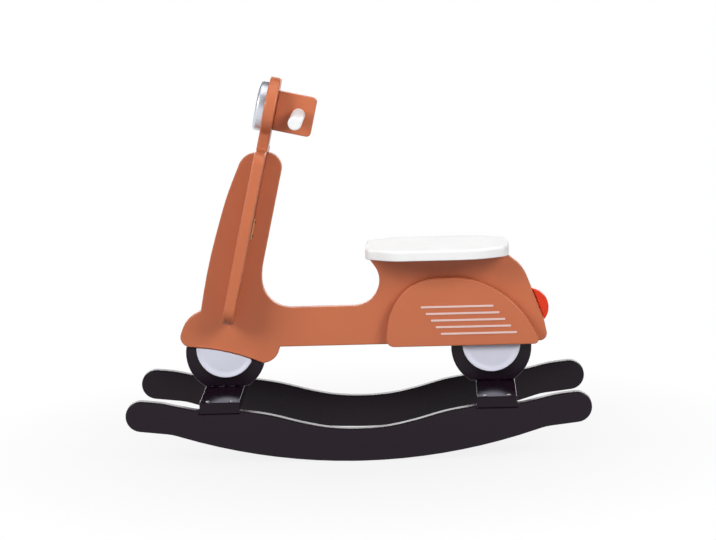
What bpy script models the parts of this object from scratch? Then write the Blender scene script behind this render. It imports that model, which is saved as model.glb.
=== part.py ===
"""Rocking scooter toy: a board-built scooter on two rockers.

Metres, +Z up. The front points to -X, the rider's left is -Y, and the floor under the rockers is Z = 0.
Every board part is cut from sheet of one thickness, so its neighbours follow BOARD.
"""

import math

import bmesh
import bpy
from mathutils import Matrix, Vector

# Sheet stock and fits
BOARD = 0.018               # thickness of every structural board
FIT = 0.0003                # gap left between two pieces that touch
EDGE_ROUND = 0.0022         # rounding along the edges of the boards
FACET = 0.00015             # how far a faceted arc may stray from the true one
DOWEL_RADIUS = 0.004        # wooden dowels that join board to board
DOWEL_DEPTH = 0.014         # how far a dowel goes into each board
ROUND_STEPS = 12            # sides of a dowel or screw
CUT_GAP = 0.0035            # points of a cut outline closer together than this are merged

# Rockers
ROCKER_LENGTH = 0.750       # tip to tip
TRACK = 0.280               # outer face to outer face of the two rockers
ROCKER_RADIUS = 0.930       # curve of the running edge
ROCKER_RUN = 0.287          # half the length of the running edge
ROCKER_FLAT = 0.008         # half the short flat at the lowest point
HEEL_EASE = 0.014           # straight run on past the end of the running edge
HEEL_ROUND = 0.090          # rounding where it turns to the tip
TIP_RADIUS = 0.025
TIP_HEIGHT = 0.0805         # centre of the round tips above the floor
WAIST_HEIGHT = 0.0533       # top edge at mid length
SHELF_HEIGHT = 0.0868       # top edge where the cross plates sit
NOTCH_DEPTH = 0.004         # how deep the cross plates are let in

# Cross plates
PLATE_X = 0.2230            # middle of each cross plate from mid length
PLATE_WIDTH = 0.0640
PLATE_SCREW_SPREAD = 0.019  # screws each side of the plate's middle
SCREW_RADIUS = 0.0020
SCREW_LENGTH = 0.042
SCREW_HEAD_RADIUS = 0.0036
SCREW_HEAD_HEIGHT = 0.0014

# Wheels: round boards, flat where they meet the plate and the body
FRONT_WHEEL_X = -0.2196
REAR_WHEEL_X = 0.2176
WHEEL_RADIUS = 0.0660
WHEEL_LIFT = 0.0560         # wheel centre above the top of the cross plate
HUB_RADIUS = 0.0475
HUB_LIFT = 0.0082           # hub centre above the wheel centre
HUB_THICKNESS = 0.008
HUB_RIM = 0.002             # flat ring at the edge of the dished hub
HUB_SLOPE = 0.007           # width of the slope down to the dish
HUB_DISH = 0.0025           # depth of the dish
WHEEL_BOLT_SPREAD = 0.018
WHEEL_BOLT_RADIUS = 0.003
WHEEL_BOLT_REACH = 0.026    # how far a wheel bolt goes into the wheel
BOLT_HEAD_RADIUS = 0.0055
BOLT_HEAD_HEIGHT = 0.003
WHEEL_DOWEL_SPREAD = 0.026

# Body board, heights above its straight lower edge
BODY_LIFT = 0.0642          # lower edge of the body above the cross plates' top
FLOOR_DEPTH = 0.0650        # lower edge to the foot board's top edge
SEAT_RISE = 0.1475          # lower edge to the edge that carries the seat
LEG_RISE = 0.3222           # lower edge to the top of the front leg
FENDER_TIP = (-0.0815, 0.0045, 0.017)       # corners of the body: from the front wheel, rise, rounding
ARCH_CROWN = (0.0074, -0.0025, 0.31)
ARCH_HEEL = (0.0611, -0.0270, 0.009)
HEEL_RETURN = (0.0226, 0.0050, 0.029)       # from the arch's heel
LEG_LINE = 0.0280                           # a line up the leg, behind the arch's heel
UNDER_FOOT = 0.0005                         # the next corners are from the leg's line
FOOT_BEND = (-0.0250, 0.050)                # on the foot board: from the leg's line, rounding
CALF = (-0.0255, 0.062, 0.120)              # rise above the foot board
LEG_TOP_REAR = (0.0196, 0.0245)
LEG_TOP_FRONT = (-0.0485, 0.030)
LEG_FRONT_HIGH = (-0.0792, 0.2512, 0.50)
LEG_FRONT_LOW = (-0.1133, 0.1398, 0.90)
FENDER_STEP = (-0.1279, 0.0632, 0.002)
FENDER_BROW = (0.0180, 0.0502, 0.045)       # from the fender's tip
TAIL_FOOT_ROUND = 0.012
TAIL_LOW = (-0.0075, 0.037, 0.060)          # up the tail: from the rear end, rise, rounding
TAIL_HIGH = (-0.040, -0.0227, 0.060)        # rise from the seat's edge
SEAT_REAR_END = (-0.009, 0.004)             # under the seat: from the seat's rear end, rounding
SEAT_FRONT_END = (0.002, 0.003)             # from the seat's front end
SEAT_POST_TOP = (0.021, -0.027, 0.040)
SEAT_POST_FOOT = (0.021, 0.046)
TAIL_X = 0.3120             # rear end of the body
TAIL_LAMP_INSET = 0.0310    # lamp centre ahead of the body's rear end
TAIL_LAMP_RISE = 0.0557
TAIL_LAMP_RADIUS = 0.0320
TAIL_DOWEL_LENGTH = 0.026   # from the lamp's centre, inside the body, out into the lamp

# Steering board: shield and stem in one piece, leaning back
LEAN = math.radians(12.95)
STEER_FOOT_X = -0.2124      # middle of the board's lower end
STEER_FOOT_RISE = 0.0469    # the same point above the body's lower edge
SHIELD_LENGTH = 0.2889
SHIELD_FOOT_HALF = 0.0760
SHIELD_FOOT_ROUND = 0.0320
SHIELD_HALF_WIDTH = 0.0860
SHIELD_TOP_HALF = 0.0780
NECK_HALF_WIDTH = 0.0270
HEAD_RADIUS = 0.0500        # round head, concentric with the lamp on it
HEAD_RISE = 0.3574          # head centre above the board's lower end
LAP_HEIGHT = 0.1354         # where the slots of shield and body meet

# Lamp, handle and its plate, along the steering board
LAMP_RADIUS = 0.0410
LAMP_THICKNESS = 0.0142
LAMP_ROUND = 0.0050
LAMP_STEPS = 36             # sides of the lamp
HANDLE_PLATE_TOP = 0.0200   # below the head's top end
HANDLE_PLATE_HEIGHT = 0.0650
HANDLE_PLATE_REACH = 0.0632
HANDLE_PLATE_ROUND = 0.0070
HANDLE_RADIUS = 0.0110
HANDLE_LENGTH = 0.2680
HANDLE_BACK = 0.0380        # bar centre behind the steering board's rear face
HANDLE_DOWN = 0.0325        # bar centre below the plate's top
PLATE_SCREW_INSET = 0.0120  # screws from the handle plate's top and bottom

# Seat
SEAT_FRONT = 0.0155
SEAT_LENGTH = 0.2370
SEAT_HALF_WIDTH = 0.0775
SEAT_ROUND = 0.0045
SEAT_UNDER_ROUND = 0.0015   # the seat's lower rim is crisper than its upper one
SEAT_SCREW_PLACES = (0.0560, 0.1830)   # behind the seat's front end
SEAT_PLUG_RADIUS = 0.0065
SEAT_PLUG_DEPTH = 0.0030
SEAT_SCREW_RADIUS = 0.0025
SEAT_SCREW_REACH = 0.026

# Side panels and their stripes
SIDE_THICKNESS = 0.0180
SIDE_DROP = 0.0020          # how far the panel hangs below the body's edge
PANEL_TAIL_INSET = 0.0112   # panel's rear end ahead of the body's
PANEL_LENGTH = 0.2568
PANEL_RISE = 0.1132         # panel's height
PANEL_FRONT_ROUND = 0.013
PANEL_REAR_ROUND = 0.008
PANEL_REAR = (-0.0356, 0.0669, 0.170)       # from the panel's rear end, rise, rounding
PANEL_CREST = ((-0.1054, 0.135), (-0.2050, 0.083))
PANEL_FRONT = (0.0075, 0.0632, 0.100)       # from the panel's front end
SIDE_DOWEL_PLACES = ((0.066, 0.050), (0.181, 0.040))  # behind the panel's front end, rise
STRIPE_COUNT = 5
STRIPE_LENGTH = 0.1190
STRIPE_GROWTH = 0.0015      # each stripe is this much longer than the one above it
STRIPE_HEIGHT = 0.0035
STRIPE_THICKNESS = 0.0008
STRIPE_INSET = 0.0595       # first stripe behind the panel's front end
STRIPE_FIRST_RISE = 0.0637
STRIPE_PITCH = 0.0112
STRIPE_STEP = 0.0079        # each stripe starts this much further back

# Small tie plates behind the shield
TIE_HEIGHT = 0.0360
TIE_WIDTH = 0.0100
TIE_THICKNESS = 0.0025
TIE_FOOT = 0.1424           # lower end, up the shield
TIE_ASIDE = 0.0340          # middle of the tie plate from the centre plane
TIE_SCREW_INSET = 0.0060
TIE_SCREW_RADIUS = 0.0015
TIE_SCREW_REACH = 0.0090
TIE_HEAD_RADIUS = 0.0028
TIE_HEAD_HEIGHT = 0.0012

# Heights and faces that follow from the sizes above
PLATE_SEAT = SHELF_HEIGHT - NOTCH_DEPTH
PLATE_LOW = PLATE_SEAT + FIT
PLATE_TOP = PLATE_LOW + BOARD
WHEEL_Z = PLATE_TOP + WHEEL_LIFT
BODY_LOW = PLATE_TOP + BODY_LIFT
FLOOR_Z = BODY_LOW + FLOOR_DEPTH
SEAT_LOW = BODY_LOW + SEAT_RISE
LEG_TOP = BODY_LOW + LEG_RISE
HALF = BOARD / 2
STEER_TOP = HEAD_RISE + HEAD_RADIUS
TAIL_LAMP_X = TAIL_X - TAIL_LAMP_INSET
REAR_PANEL_X = TAIL_X - PANEL_TAIL_INSET
ROCKER_MIDDLE = TRACK / 2 - HALF


def material(name, colour, roughness, metallic=0.0):
    """Return a plain Principled material."""
    made = bpy.data.materials.new(name)
    made.use_nodes = True
    shader = made.node_tree.nodes["Principled BSDF"]
    shader.inputs["Base Color"].default_value = (*colour, 1.0)
    shader.inputs["Roughness"].default_value = roughness
    shader.inputs["Metallic"].default_value = metallic
    return made


def arc(centre, radius, start, end):
    """Return points along an arc, angles in radians, both ends included."""
    step = 2 * math.acos(1 - FACET / radius)
    count = max(2, math.ceil(abs(end - start) / step))
    return [
        (centre[0] + radius * math.cos(start + (end - start) * i / count),
         centre[1] + radius * math.sin(start + (end - start) * i / count))
        for i in range(count + 1)
    ]


def corner_arcs(corners):
    """Turn each corner (x, z, radius) of a closed outline into its own list of points on a tangent arc.

    Where two neighbouring arcs would need more than the edge between them, both shrink to fit.
    """
    points = [Vector(corner[:2]) for corner in corners]
    sides = [(points[i - 1] - here, points[(i + 1) % len(points)] - here)
             for i, here in enumerate(points)]
    bends = [math.pi - back.angle(ahead) for back, ahead in sides]
    wants = [corner[2] * math.tan(bend / 2) for corner, bend in zip(corners, bends)]
    arcs = []
    for i, (here, (back, ahead)) in enumerate(zip(points, sides)):
        if wants[i] < 0.00001:
            arcs.append([tuple(here)])
            continue
        before, after = wants[i] + wants[i - 1], wants[i] + wants[(i + 1) % len(points)]
        reach = wants[i] * min(1, 0.98 * back.length / before, 0.98 * ahead.length / after)
        radius = reach / math.tan(bends[i] / 2)
        inward = (back.normalized() + ahead.normalized()).normalized()
        centre = here + inward * (radius / math.cos(bends[i] / 2))
        first = here + back.normalized() * reach - centre
        last = here + ahead.normalized() * reach - centre
        start = math.atan2(first.y, first.x)
        turn = math.atan2(first.x * last.y - first.y * last.x, first.dot(last))
        arcs.append(arc(centre, radius, start, start + turn))
    return arcs


def rounded(corners):
    """Return one outline with every corner (x, z, radius) rounded."""
    return [point for points in corner_arcs(corners) for point in points]


def thinned(outline, gap):
    """Drop the points of an outline that lie closer than gap to the one before."""
    kept = [outline[0]]
    for point in outline[1:]:
        if math.dist(point, kept[-1]) > gap and math.dist(point, kept[0]) > gap:
            kept.append(point)
    return kept


def smooth_through(points, steps=6):
    """Return a smooth curve through the points, flat at its first point."""
    path = [Vector((2 * points[0][0] - points[1][0], points[1][1]))]
    path += [Vector(p) for p in points]
    path.append(2 * path[-1] - path[-2])
    curve = []
    for a, b, c, d in zip(path, path[1:], path[2:], path[3:]):
        for i in range(steps):
            t = i / steps
            curve.append(
                0.5 * (2 * b + (c - a) * t + (2 * a - 5 * b + 4 * c - d) * t ** 2
                       + (3 * b - 3 * c + d - a) * t ** 3)
            )
    return [tuple(p) for p in curve] + [tuple(path[-2])]


def clip(outline, point, inward):
    """Keep the part of a convex outline that lies on the inward side of a line."""
    point, inward = Vector(point), Vector(inward).normalized()
    kept = []
    for i, corner in enumerate(outline):
        here, before = Vector(corner), Vector(outline[i - 1])
        a, b = (before - point).dot(inward), (here - point).dot(inward)
        if a * b < 0:
            kept.append(tuple(before.lerp(here, a / (a - b))))
        if b >= 0:
            kept.append(tuple(here))
    return kept


def finish(name, mesh, made_of, parent=None, smooth=True):
    """Link a mesh as an object with its material."""
    mesh.materials.append(made_of)
    if smooth:
        mesh.shade_smooth()
        mesh.set_sharp_from_angle(angle=math.radians(35))
    made = bpy.data.objects.new(name, mesh)
    made.parent = parent
    bpy.context.scene.collection.objects.link(made)
    return made


def board(name, outline, low, high, facing, made_of, rounding=EDGE_ROUND, parent=None, dish=None,
          under=None):
    """Extrude an outline between two depths along facing, with rounded rims.

    under is the rounding of the rim at the lower depth, where it differs.
    """
    order = {"x": (2, 0, 1), "y": (0, 2, 1), "z": (0, 1, 2)}[facing]
    bm = bmesh.new()
    corners = [bm.verts.new([(a, b, low)[i] for i in order]) for a, b in outline]
    cap = bm.faces.new(corners)
    raised = bmesh.ops.extrude_face_region(bm, geom=[cap])["geom"]
    lift = Vector([(0, 0, high - low)[i] for i in order])
    bmesh.ops.translate(bm, verts=[v for v in raised if isinstance(v, bmesh.types.BMVert)], vec=lift)
    bmesh.ops.recalc_face_normals(bm, faces=bm.faces[:])
    caps = [f for f in bm.faces if len(f.verts) == len(outline)]
    rims = list({e for f in caps for e in f.edges})
    below = min(caps, key=lambda f: f.calc_center_median().dot(lift)).edges[:] if under else []
    above = [e for e in rims if e not in below]
    for edges, width in ((above, rounding), (below, under)):
        if edges:
            bmesh.ops.bevel(bm, geom=edges, offset=width, offset_type="OFFSET", segments=2,
                            profile=0.5, affect="EDGES", material=-1)
    if dish:
        hollow(bm, lift.normalized() * dish[0], *dish[1:])
    mesh = bpy.data.meshes.new(name)
    bm.to_mesh(mesh)
    bm.free()
    return finish(name, mesh, made_of, parent)


def hollow(bm, outward, rim, slope, depth):
    """Sink a dish into the face that looks outward."""
    face = max(bm.faces, key=lambda f: f.normal.dot(outward) * f.calc_area())
    bmesh.ops.inset_region(bm, faces=[face], thickness=rim, use_even_offset=True)
    bmesh.ops.inset_region(bm, faces=[face], thickness=slope, use_even_offset=True)
    bmesh.ops.translate(bm, verts=face.verts[:], vec=-outward.normalized() * depth)


def turned(name, profile, base, direction, made_of, parent=None, steps=ROUND_STEPS):
    """Spin a (radius, height) profile about its axis and stand it on base."""
    bm = bmesh.new()
    points = [bm.verts.new((r, 0, h)) for r, h in profile]
    edges = [bm.edges.new(pair) for pair in zip(points, points[1:])]
    bmesh.ops.spin(bm, geom=points + edges, cent=(0, 0, 0), axis=(0, 0, 1),
                   angle=2 * math.pi, steps=steps, use_merge=True)
    bmesh.ops.remove_doubles(bm, verts=bm.verts[:], dist=0.000001)
    bmesh.ops.recalc_face_normals(bm, faces=bm.faces[:])
    mesh = bpy.data.meshes.new(name)
    bm.to_mesh(mesh)
    bm.free()
    made = finish(name, mesh, made_of, parent)
    made.location = base
    made.rotation_euler = Vector(direction).to_track_quat("Z", "Y").to_euler()
    return made


def rod(name, base, direction, radius, length, made_of, ease=0.0006, parent=None):
    """A plain rod with eased ends."""
    profile = [(0, 0), (radius - ease, 0), (radius, ease), (radius, length - ease),
               (radius - ease, length), (0, length)]
    return turned(name, profile, base, direction, made_of, parent)


def headed(name, base, direction, radius, length, head_radius, head_height, made_of, parent=None):
    """A screw: base is under the head, direction points along the shank."""
    profile = [(0, -head_height), (head_radius * 0.75, -head_height), (head_radius, -head_height / 3),
               (head_radius, 0), (radius, 0), (radius, length - 2 * radius), (radius * 0.3, length),
               (0, length)]
    return turned(name, profile, base, direction, made_of, parent)


def sunk_screw(name, base, direction, shank, head, made_of, targets, lead, parent=None):
    """A screw whose head lies in a recess, with one stepped cutter for the recess and the shank.

    shank and head are (radius, length) pairs; lead is how far the recess runs on above the head.
    """
    headed(name, base, direction, *shank, *head, made_of, parent)
    wide, narrow, end = head[0] + FIT, shank[0] + FIT, shank[1] + FIT
    profile = [(0, -head[1] - lead), (wide, -head[1] - lead), (wide, FIT), (narrow, FIT),
               (narrow, end), (0, end)]
    cut(targets, turned("cut_step", profile, base, direction, WOOD, parent))


def hole(targets, base, direction, radius, length, parent=None):
    """Drill a round hole, a fit clearance larger than what goes in it."""
    cutter = rod("cut_hole", base, direction, radius + FIT, length, WOOD, ease=0.0001, parent=parent)
    cut(targets, cutter)


def box_cut(targets, low, high, parent=None):
    """Cut a box out of the targets."""
    bm = bmesh.new()
    size = [b - a for a, b in zip(low, high)]
    middle = [(a + b) / 2 for a, b in zip(low, high)]
    bmesh.ops.create_cube(bm, size=1, matrix=Matrix.Translation(middle) @ Matrix.Diagonal((*size, 1)))
    mesh = bpy.data.meshes.new("cut_box")
    bm.to_mesh(mesh)
    bm.free()
    cut(targets, finish("cut_box", mesh, WOOD, parent, smooth=False))


def cut(targets, cutter):
    """Take the cutter's shape out of every target."""
    cutter.hide_render = True
    cutter.display_type = "WIRE"
    for target in targets:
        modifier = target.modifiers.new("cut", "BOOLEAN")
        modifier.operation = "DIFFERENCE"
        modifier.solver = "EXACT"
        modifier.object = cutter


def rocker_half():
    """Outline of a rocker's front-to-middle half, from the lowest point round to the top edge."""
    tip = (ROCKER_LENGTH / 2 - TIP_RADIUS, TIP_HEIGHT)
    run_angle = math.asin(ROCKER_RUN / ROCKER_RADIUS)
    run_end = -math.pi / 2 + run_angle
    sole = math.sqrt(ROCKER_RADIUS ** 2 - ROCKER_FLAT ** 2)
    flat_angle = math.asin(ROCKER_FLAT / ROCKER_RADIUS)
    running = arc((0, sole), ROCKER_RADIUS, -math.pi / 2 + flat_angle, run_end)
    end = Vector(running[-1])
    easing = end + Vector((math.cos(run_angle), math.sin(run_angle))) * HEEL_EASE
    leave = math.radians(-84)
    tip_start = Vector(tip) + TIP_RADIUS * Vector((math.cos(leave), math.sin(leave)))
    heel = rounded([(*end, 0), (*easing, HEEL_ROUND), (*tip_start, 0)])
    nose = arc(tip, TIP_RADIUS, leave, math.radians(94))
    inner, outer = PLATE_X - PLATE_WIDTH / 2 - FIT, PLATE_X + PLATE_WIDTH / 2 + FIT
    rise = SHELF_HEIGHT - WAIST_HEIGHT
    between = tip[0] - outer
    crest = TIP_HEIGHT + TIP_RADIUS - SHELF_HEIGHT
    dip = smooth_through([
        (0, WAIST_HEIGHT),
        (0.24 * inner, WAIST_HEIGHT + 0.08 * rise),
        (0.47 * inner, WAIST_HEIGHT + 0.34 * rise),
        (0.74 * inner, WAIST_HEIGHT + 0.75 * rise),
        (inner, SHELF_HEIGHT),
    ])
    wave = smooth_through([
        (outer, SHELF_HEIGHT + 0.12 * crest),
        (outer + 0.28 * between, SHELF_HEIGHT + 0.38 * crest),
        (outer + 0.65 * between, SHELF_HEIGHT + 0.80 * crest),
        nose[-1],
    ])
    notch = [(inner, PLATE_SEAT), (outer, PLATE_SEAT)]
    return running + heel[1:-1] + nose[:-1] + wave[::-1] + notch[::-1] + dip[::-1]


def make_rockers():
    right = rocker_half()
    outline = right + [(-x, z) for x, z in right[-2::-1]]
    rockers = []
    for name, side in (("rocker_left", -1), ("rocker_right", 1)):
        middle = side * ROCKER_MIDDLE
        rockers.append(board(name, outline, middle - HALF, middle + HALF, "y", BLACK))
    return rockers


def make_cross_plates(rockers):
    """Cross plates let into the rockers, each held by two screws at each end."""
    plates = []
    for name, x in (("front", -PLATE_X), ("rear", PLATE_X)):
        outline = [(x + sx * PLATE_WIDTH / 2, sy * TRACK / 2)
                   for sx, sy in ((-1, -1), (1, -1), (1, 1), (-1, 1))]
        plate = board(f"{name}_cross_plate", outline, PLATE_LOW, PLATE_TOP, "z", BLACK, EDGE_ROUND / 2)
        plates.append(plate)
        places = [(x + sx * PLATE_SCREW_SPREAD, sy * ROCKER_MIDDLE) for sy in (-1, 1) for sx in (-1, 1)]
        for count, (sx, sy) in enumerate(places, 1):
            base = (sx, sy, PLATE_TOP + FIT)
            headed(f"{name}_plate_screw_{count}", base, (0, 0, -1), SCREW_RADIUS, SCREW_LENGTH,
                   SCREW_HEAD_RADIUS, SCREW_HEAD_HEIGHT, STEEL)
            hole([plate, rockers[0 if sy < 0 else 1]], (sx, sy, PLATE_TOP + BOARD), (0, 0, -1),
                 SCREW_RADIUS, BOARD + SCREW_LENGTH + 2 * FIT)
    return plates


def corner(x, z, offsets):
    """A rounded corner at (along, rise, rounding) offsets from a point."""
    return (x + offsets[0], z + offsets[1], offsets[2])


def level_corner(x, z, offsets):
    """A rounded corner on a level, at (along, rounding) offsets."""
    return (x + offsets[0], z, offsets[1])


def make_body():
    """One board: fender, front leg, foot board, seat carrier and tail.

    Also returns its lower edge over the front wheel, which the front wheel is cut to.
    """
    tip = corner(FRONT_WHEEL_X, BODY_LOW, FENDER_TIP)
    crown = corner(FRONT_WHEEL_X, BODY_LOW, ARCH_CROWN)
    heel = corner(FRONT_WHEEL_X, BODY_LOW, ARCH_HEEL)
    seat_back = SEAT_FRONT + SEAT_LENGTH
    leg = heel[0] + LEG_LINE
    corners = [
        tip, crown, heel,
        corner(heel[0], heel[1], HEEL_RETURN),
        (leg + UNDER_FOOT, BODY_LOW, 0),
        (TAIL_X, BODY_LOW, TAIL_FOOT_ROUND),
        *tail_edge(),
        level_corner(seat_back, SEAT_LOW, SEAT_REAR_END),
        level_corner(SEAT_FRONT, SEAT_LOW, SEAT_FRONT_END),
        corner(SEAT_FRONT, SEAT_LOW, SEAT_POST_TOP),
        level_corner(SEAT_FRONT, FLOOR_Z, SEAT_POST_FOOT),
        level_corner(leg, FLOOR_Z, FOOT_BEND),
        corner(leg, FLOOR_Z, CALF),
        level_corner(leg, LEG_TOP, LEG_TOP_REAR),
        level_corner(leg, LEG_TOP, LEG_TOP_FRONT),
        corner(leg, BODY_LOW, LEG_FRONT_HIGH),
        corner(leg, BODY_LOW, LEG_FRONT_LOW),
        corner(leg, BODY_LOW, FENDER_STEP),
        corner(tip[0], BODY_LOW, FENDER_BROW),
    ]
    arcs = corner_arcs(corners)
    outline = [point for points in arcs for point in points]
    return board("body_panel", outline, -HALF, HALF, "y", TERRACOTTA), [arcs[0][-1], *arcs[1], arcs[2][0]]


def tail_edge():
    """Corners up the tail, lower one first."""
    return [corner(TAIL_X, BODY_LOW, TAIL_LOW), corner(TAIL_X, SEAT_LOW, TAIL_HIGH)]


def make_wheels(body, arch, plates):
    """Wheels cut flat under the body and over the plates, with dished hubs on both faces."""
    level = [(0, BODY_LOW), (1, BODY_LOW)]
    under_cover = [(0, BODY_LOW - SIDE_DROP), (1, BODY_LOW - SIDE_DROP)]
    rows = [("front", FRONT_WHEEL_X, arch, arch, plates[0]),
            ("rear", REAR_WHEEL_X, level, under_cover, plates[1])]
    for name, x, wheel_edge, hub_edge, plate in rows:
        outline = wheel_outline(x, WHEEL_Z, WHEEL_RADIUS, wheel_edge)
        wheel = board(f"{name}_wheel", outline, -HALF, HALF, "y", BLACK)
        outline = wheel_outline(x, WHEEL_Z + HUB_LIFT, HUB_RADIUS, hub_edge)
        for side, word in ((-1, "left"), (1, "right")):
            faces = sorted((side * (HALF + FIT), side * (HALF + FIT + HUB_THICKNESS)))
            board(f"{name}_hub_{word}", outline, *faces, "y", WHITE, 0.001,
                  dish=(side, HUB_RIM, HUB_SLOPE, HUB_DISH))
        fasten_wheel(name, x, wheel, body, plate, wheel_edge)


def wheel_outline(x, z, radius, edge):
    """A disc cut at the plate's top and under the body's edge, which is given front to rear."""
    outline = clip(arc((x, z), radius, 0, 2 * math.pi)[:-1], (x, PLATE_TOP + FIT), (0, 1))
    for a, b in zip(edge, edge[1:]):
        down = Vector((b[1] - a[1], a[0] - b[0])).normalized()
        outline = clip(outline, Vector(a) + down * FIT, down)
    return thinned(outline, CUT_GAP)


def fasten_wheel(name, x, wheel, body, plate, edge):
    """Two bolts up through the plate and two dowels up into the body."""
    for word, dx in (("fore", -WHEEL_BOLT_SPREAD), ("aft", WHEEL_BOLT_SPREAD)):
        base = (x + dx, 0, PLATE_LOW - FIT)
        length = BOARD + WHEEL_BOLT_REACH
        headed(f"{name}_wheel_bolt_{word}", base, (0, 0, 1), WHEEL_BOLT_RADIUS, length,
               BOLT_HEAD_RADIUS, BOLT_HEAD_HEIGHT, STEEL)
        hole([plate, wheel], (x + dx, 0, PLATE_LOW - BOARD), (0, 0, 1), WHEEL_BOLT_RADIUS,
             2 * BOARD + WHEEL_BOLT_REACH + FIT)
    for word, dx in (("fore", -WHEEL_DOWEL_SPREAD), ("aft", WHEEL_DOWEL_SPREAD)):
        seam = height_on(edge, x + dx)
        base = (x + dx, 0, seam - DOWEL_DEPTH)
        rod(f"{name}_wheel_dowel_{word}", base, (0, 0, 1), DOWEL_RADIUS, 2 * DOWEL_DEPTH, WOOD)
        hole([wheel, body], (base[0], 0, base[2] - FIT), (0, 0, 1), DOWEL_RADIUS,
             2 * (DOWEL_DEPTH + FIT))


def height_on(edge, x):
    """Height at x of an edge whose points run front to rear."""
    a, b = next((pair for pair in zip(edge, edge[1:]) if x <= pair[1][0]), edge[-2:])
    return a[1] + (b[1] - a[1]) * (x - a[0]) / (b[0] - a[0])


def steering_frame():
    """An empty at the steering board's foot: its Z runs up the board, its X points to the rear."""
    frame = bpy.data.objects.new("steering_frame", None)
    frame.location = (STEER_FOOT_X, 0, BODY_LOW + STEER_FOOT_RISE)
    frame.rotation_euler = (0, LEAN, 0)
    bpy.context.scene.collection.objects.link(frame)
    return frame


def make_steering_board(body, frame):
    """Shield and stem in one board, slotted together with the body's front leg."""
    half = [
        (SHIELD_FOOT_HALF, 0, SHIELD_FOOT_ROUND),
        (SHIELD_HALF_WIDTH, 0.6 * SHIELD_LENGTH, 0.30),
        (SHIELD_TOP_HALF, SHIELD_LENGTH, 0.020),
        (NECK_HALF_WIDTH, SHIELD_LENGTH, 0.008),
        (NECK_HALF_WIDTH, HEAD_RISE - 0.81 * HEAD_RADIUS, 0.008),
        (HEAD_RADIUS, HEAD_RISE - 0.49 * HEAD_RADIUS, HEAD_RADIUS),
        (HEAD_RADIUS, STEER_TOP, HEAD_RADIUS),
        (0, STEER_TOP, 0),
    ]
    outline = rounded(half + [(-y, z, r) for y, z, r in half[-2::-1]])
    steering = board("steering_board", outline, -HALF, HALF, "x", TERRACOTTA, parent=frame)
    slot = HALF + FIT
    box_cut([steering], (-BOARD, -slot, -BOARD), (BOARD, slot, LAP_HEIGHT + FIT), frame)
    box_cut([body], (-slot, -BOARD, LAP_HEIGHT), (slot, BOARD, STEER_TOP), frame)
    return steering


def make_head(steering, frame):
    """Lamp on the front of the stem, handle plate and bar behind it."""
    lamp_z = HEAD_RISE
    front = -HALF - FIT
    profile = [(0, 0), (LAMP_RADIUS, 0)]
    profile += arc((LAMP_RADIUS - LAMP_ROUND, LAMP_THICKNESS - LAMP_ROUND), LAMP_ROUND, 0, math.pi / 2)
    profile.append((0, LAMP_THICKNESS))
    lamp = turned("headlight", profile, (front, 0, lamp_z), (-1, 0, 0), SILVER, frame, LAMP_STEPS)
    plate_top = STEER_TOP - HANDLE_PLATE_TOP
    plate_low = plate_top - HANDLE_PLATE_HEIGHT
    near, far = HALF + FIT, HALF + FIT + HANDLE_PLATE_REACH
    corners = [(near, plate_low, 0), (far, plate_low, HANDLE_PLATE_ROUND),
               (far, plate_top, HANDLE_PLATE_ROUND), (near, plate_top, 0)]
    plate = board("handle_plate", rounded(corners), -HALF, HALF, "y", TERRACOTTA, parent=frame)
    bar_x, bar_z = HALF + HANDLE_BACK, plate_top - HANDLE_DOWN
    rod("handle_bar", (bar_x, -HANDLE_LENGTH / 2, bar_z), (0, 1, 0), HANDLE_RADIUS, HANDLE_LENGTH,
        WHITE, 0.002, frame)
    hole([plate], (bar_x, -BOARD, bar_z), (0, 1, 0), HANDLE_RADIUS, 2 * BOARD, frame)
    for word, z in (("upper", plate_top - PLATE_SCREW_INSET), ("lower", plate_low + PLATE_SCREW_INSET)):
        base = (-HALF + BOLT_HEAD_HEIGHT + FIT, 0, z)
        sunk_screw(f"handle_screw_{word}", base, (1, 0, 0), (SCREW_RADIUS, SCREW_LENGTH),
                   (SCREW_HEAD_RADIUS, BOLT_HEAD_HEIGHT), STEEL, [steering, plate], HALF, frame)
    pin = (-HALF - LAMP_THICKNESS / 2, 0, lamp_z + 2 * DOWEL_RADIUS)
    pin_length = LAMP_THICKNESS / 2 + 0.7 * BOARD
    rod("headlight_dowel", pin, (1, 0, 0), DOWEL_RADIUS, pin_length, WOOD, parent=frame)
    hole([lamp, steering], (pin[0] - FIT, *pin[1:]), (1, 0, 0), DOWEL_RADIUS, pin_length + 2 * FIT, frame)


def make_seat(body):
    """Seat board on the body's upper edge, held by two screws under white plugs."""
    back = SEAT_FRONT + SEAT_LENGTH
    half = [
        (SEAT_FRONT, 0.62 * SEAT_HALF_WIDTH, 0.020),
        (SEAT_FRONT + 0.19 * SEAT_LENGTH, SEAT_HALF_WIDTH, 0.060),
        (SEAT_FRONT + 0.66 * SEAT_LENGTH, SEAT_HALF_WIDTH, 0.20),
        (SEAT_FRONT + 0.80 * SEAT_LENGTH, 0.95 * SEAT_HALF_WIDTH, 0.12),
        (back - 0.006, 0.62 * SEAT_HALF_WIDTH, 0.026),
        (back, 0, 0.30),
    ]
    mirrored = [(x, -y, r) for x, y, r in half[-2::-1]]
    low = SEAT_LOW + FIT
    seat = board("seat", rounded(half + mirrored), low, low + BOARD, "z", WHITE, SEAT_ROUND,
                 under=SEAT_UNDER_ROUND)
    for word, place in zip(("front", "rear"), SEAT_SCREW_PLACES):
        x = SEAT_FRONT + place
        base = (x, 0, low + BOARD - SEAT_PLUG_DEPTH)
        length = BOARD - SEAT_PLUG_DEPTH + SEAT_SCREW_REACH
        sunk_screw(f"seat_screw_{word}", base, (0, 0, -1), (SEAT_SCREW_RADIUS, length),
                   (SEAT_PLUG_RADIUS, SEAT_PLUG_DEPTH), WHITE, [seat, body], HALF)


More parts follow.
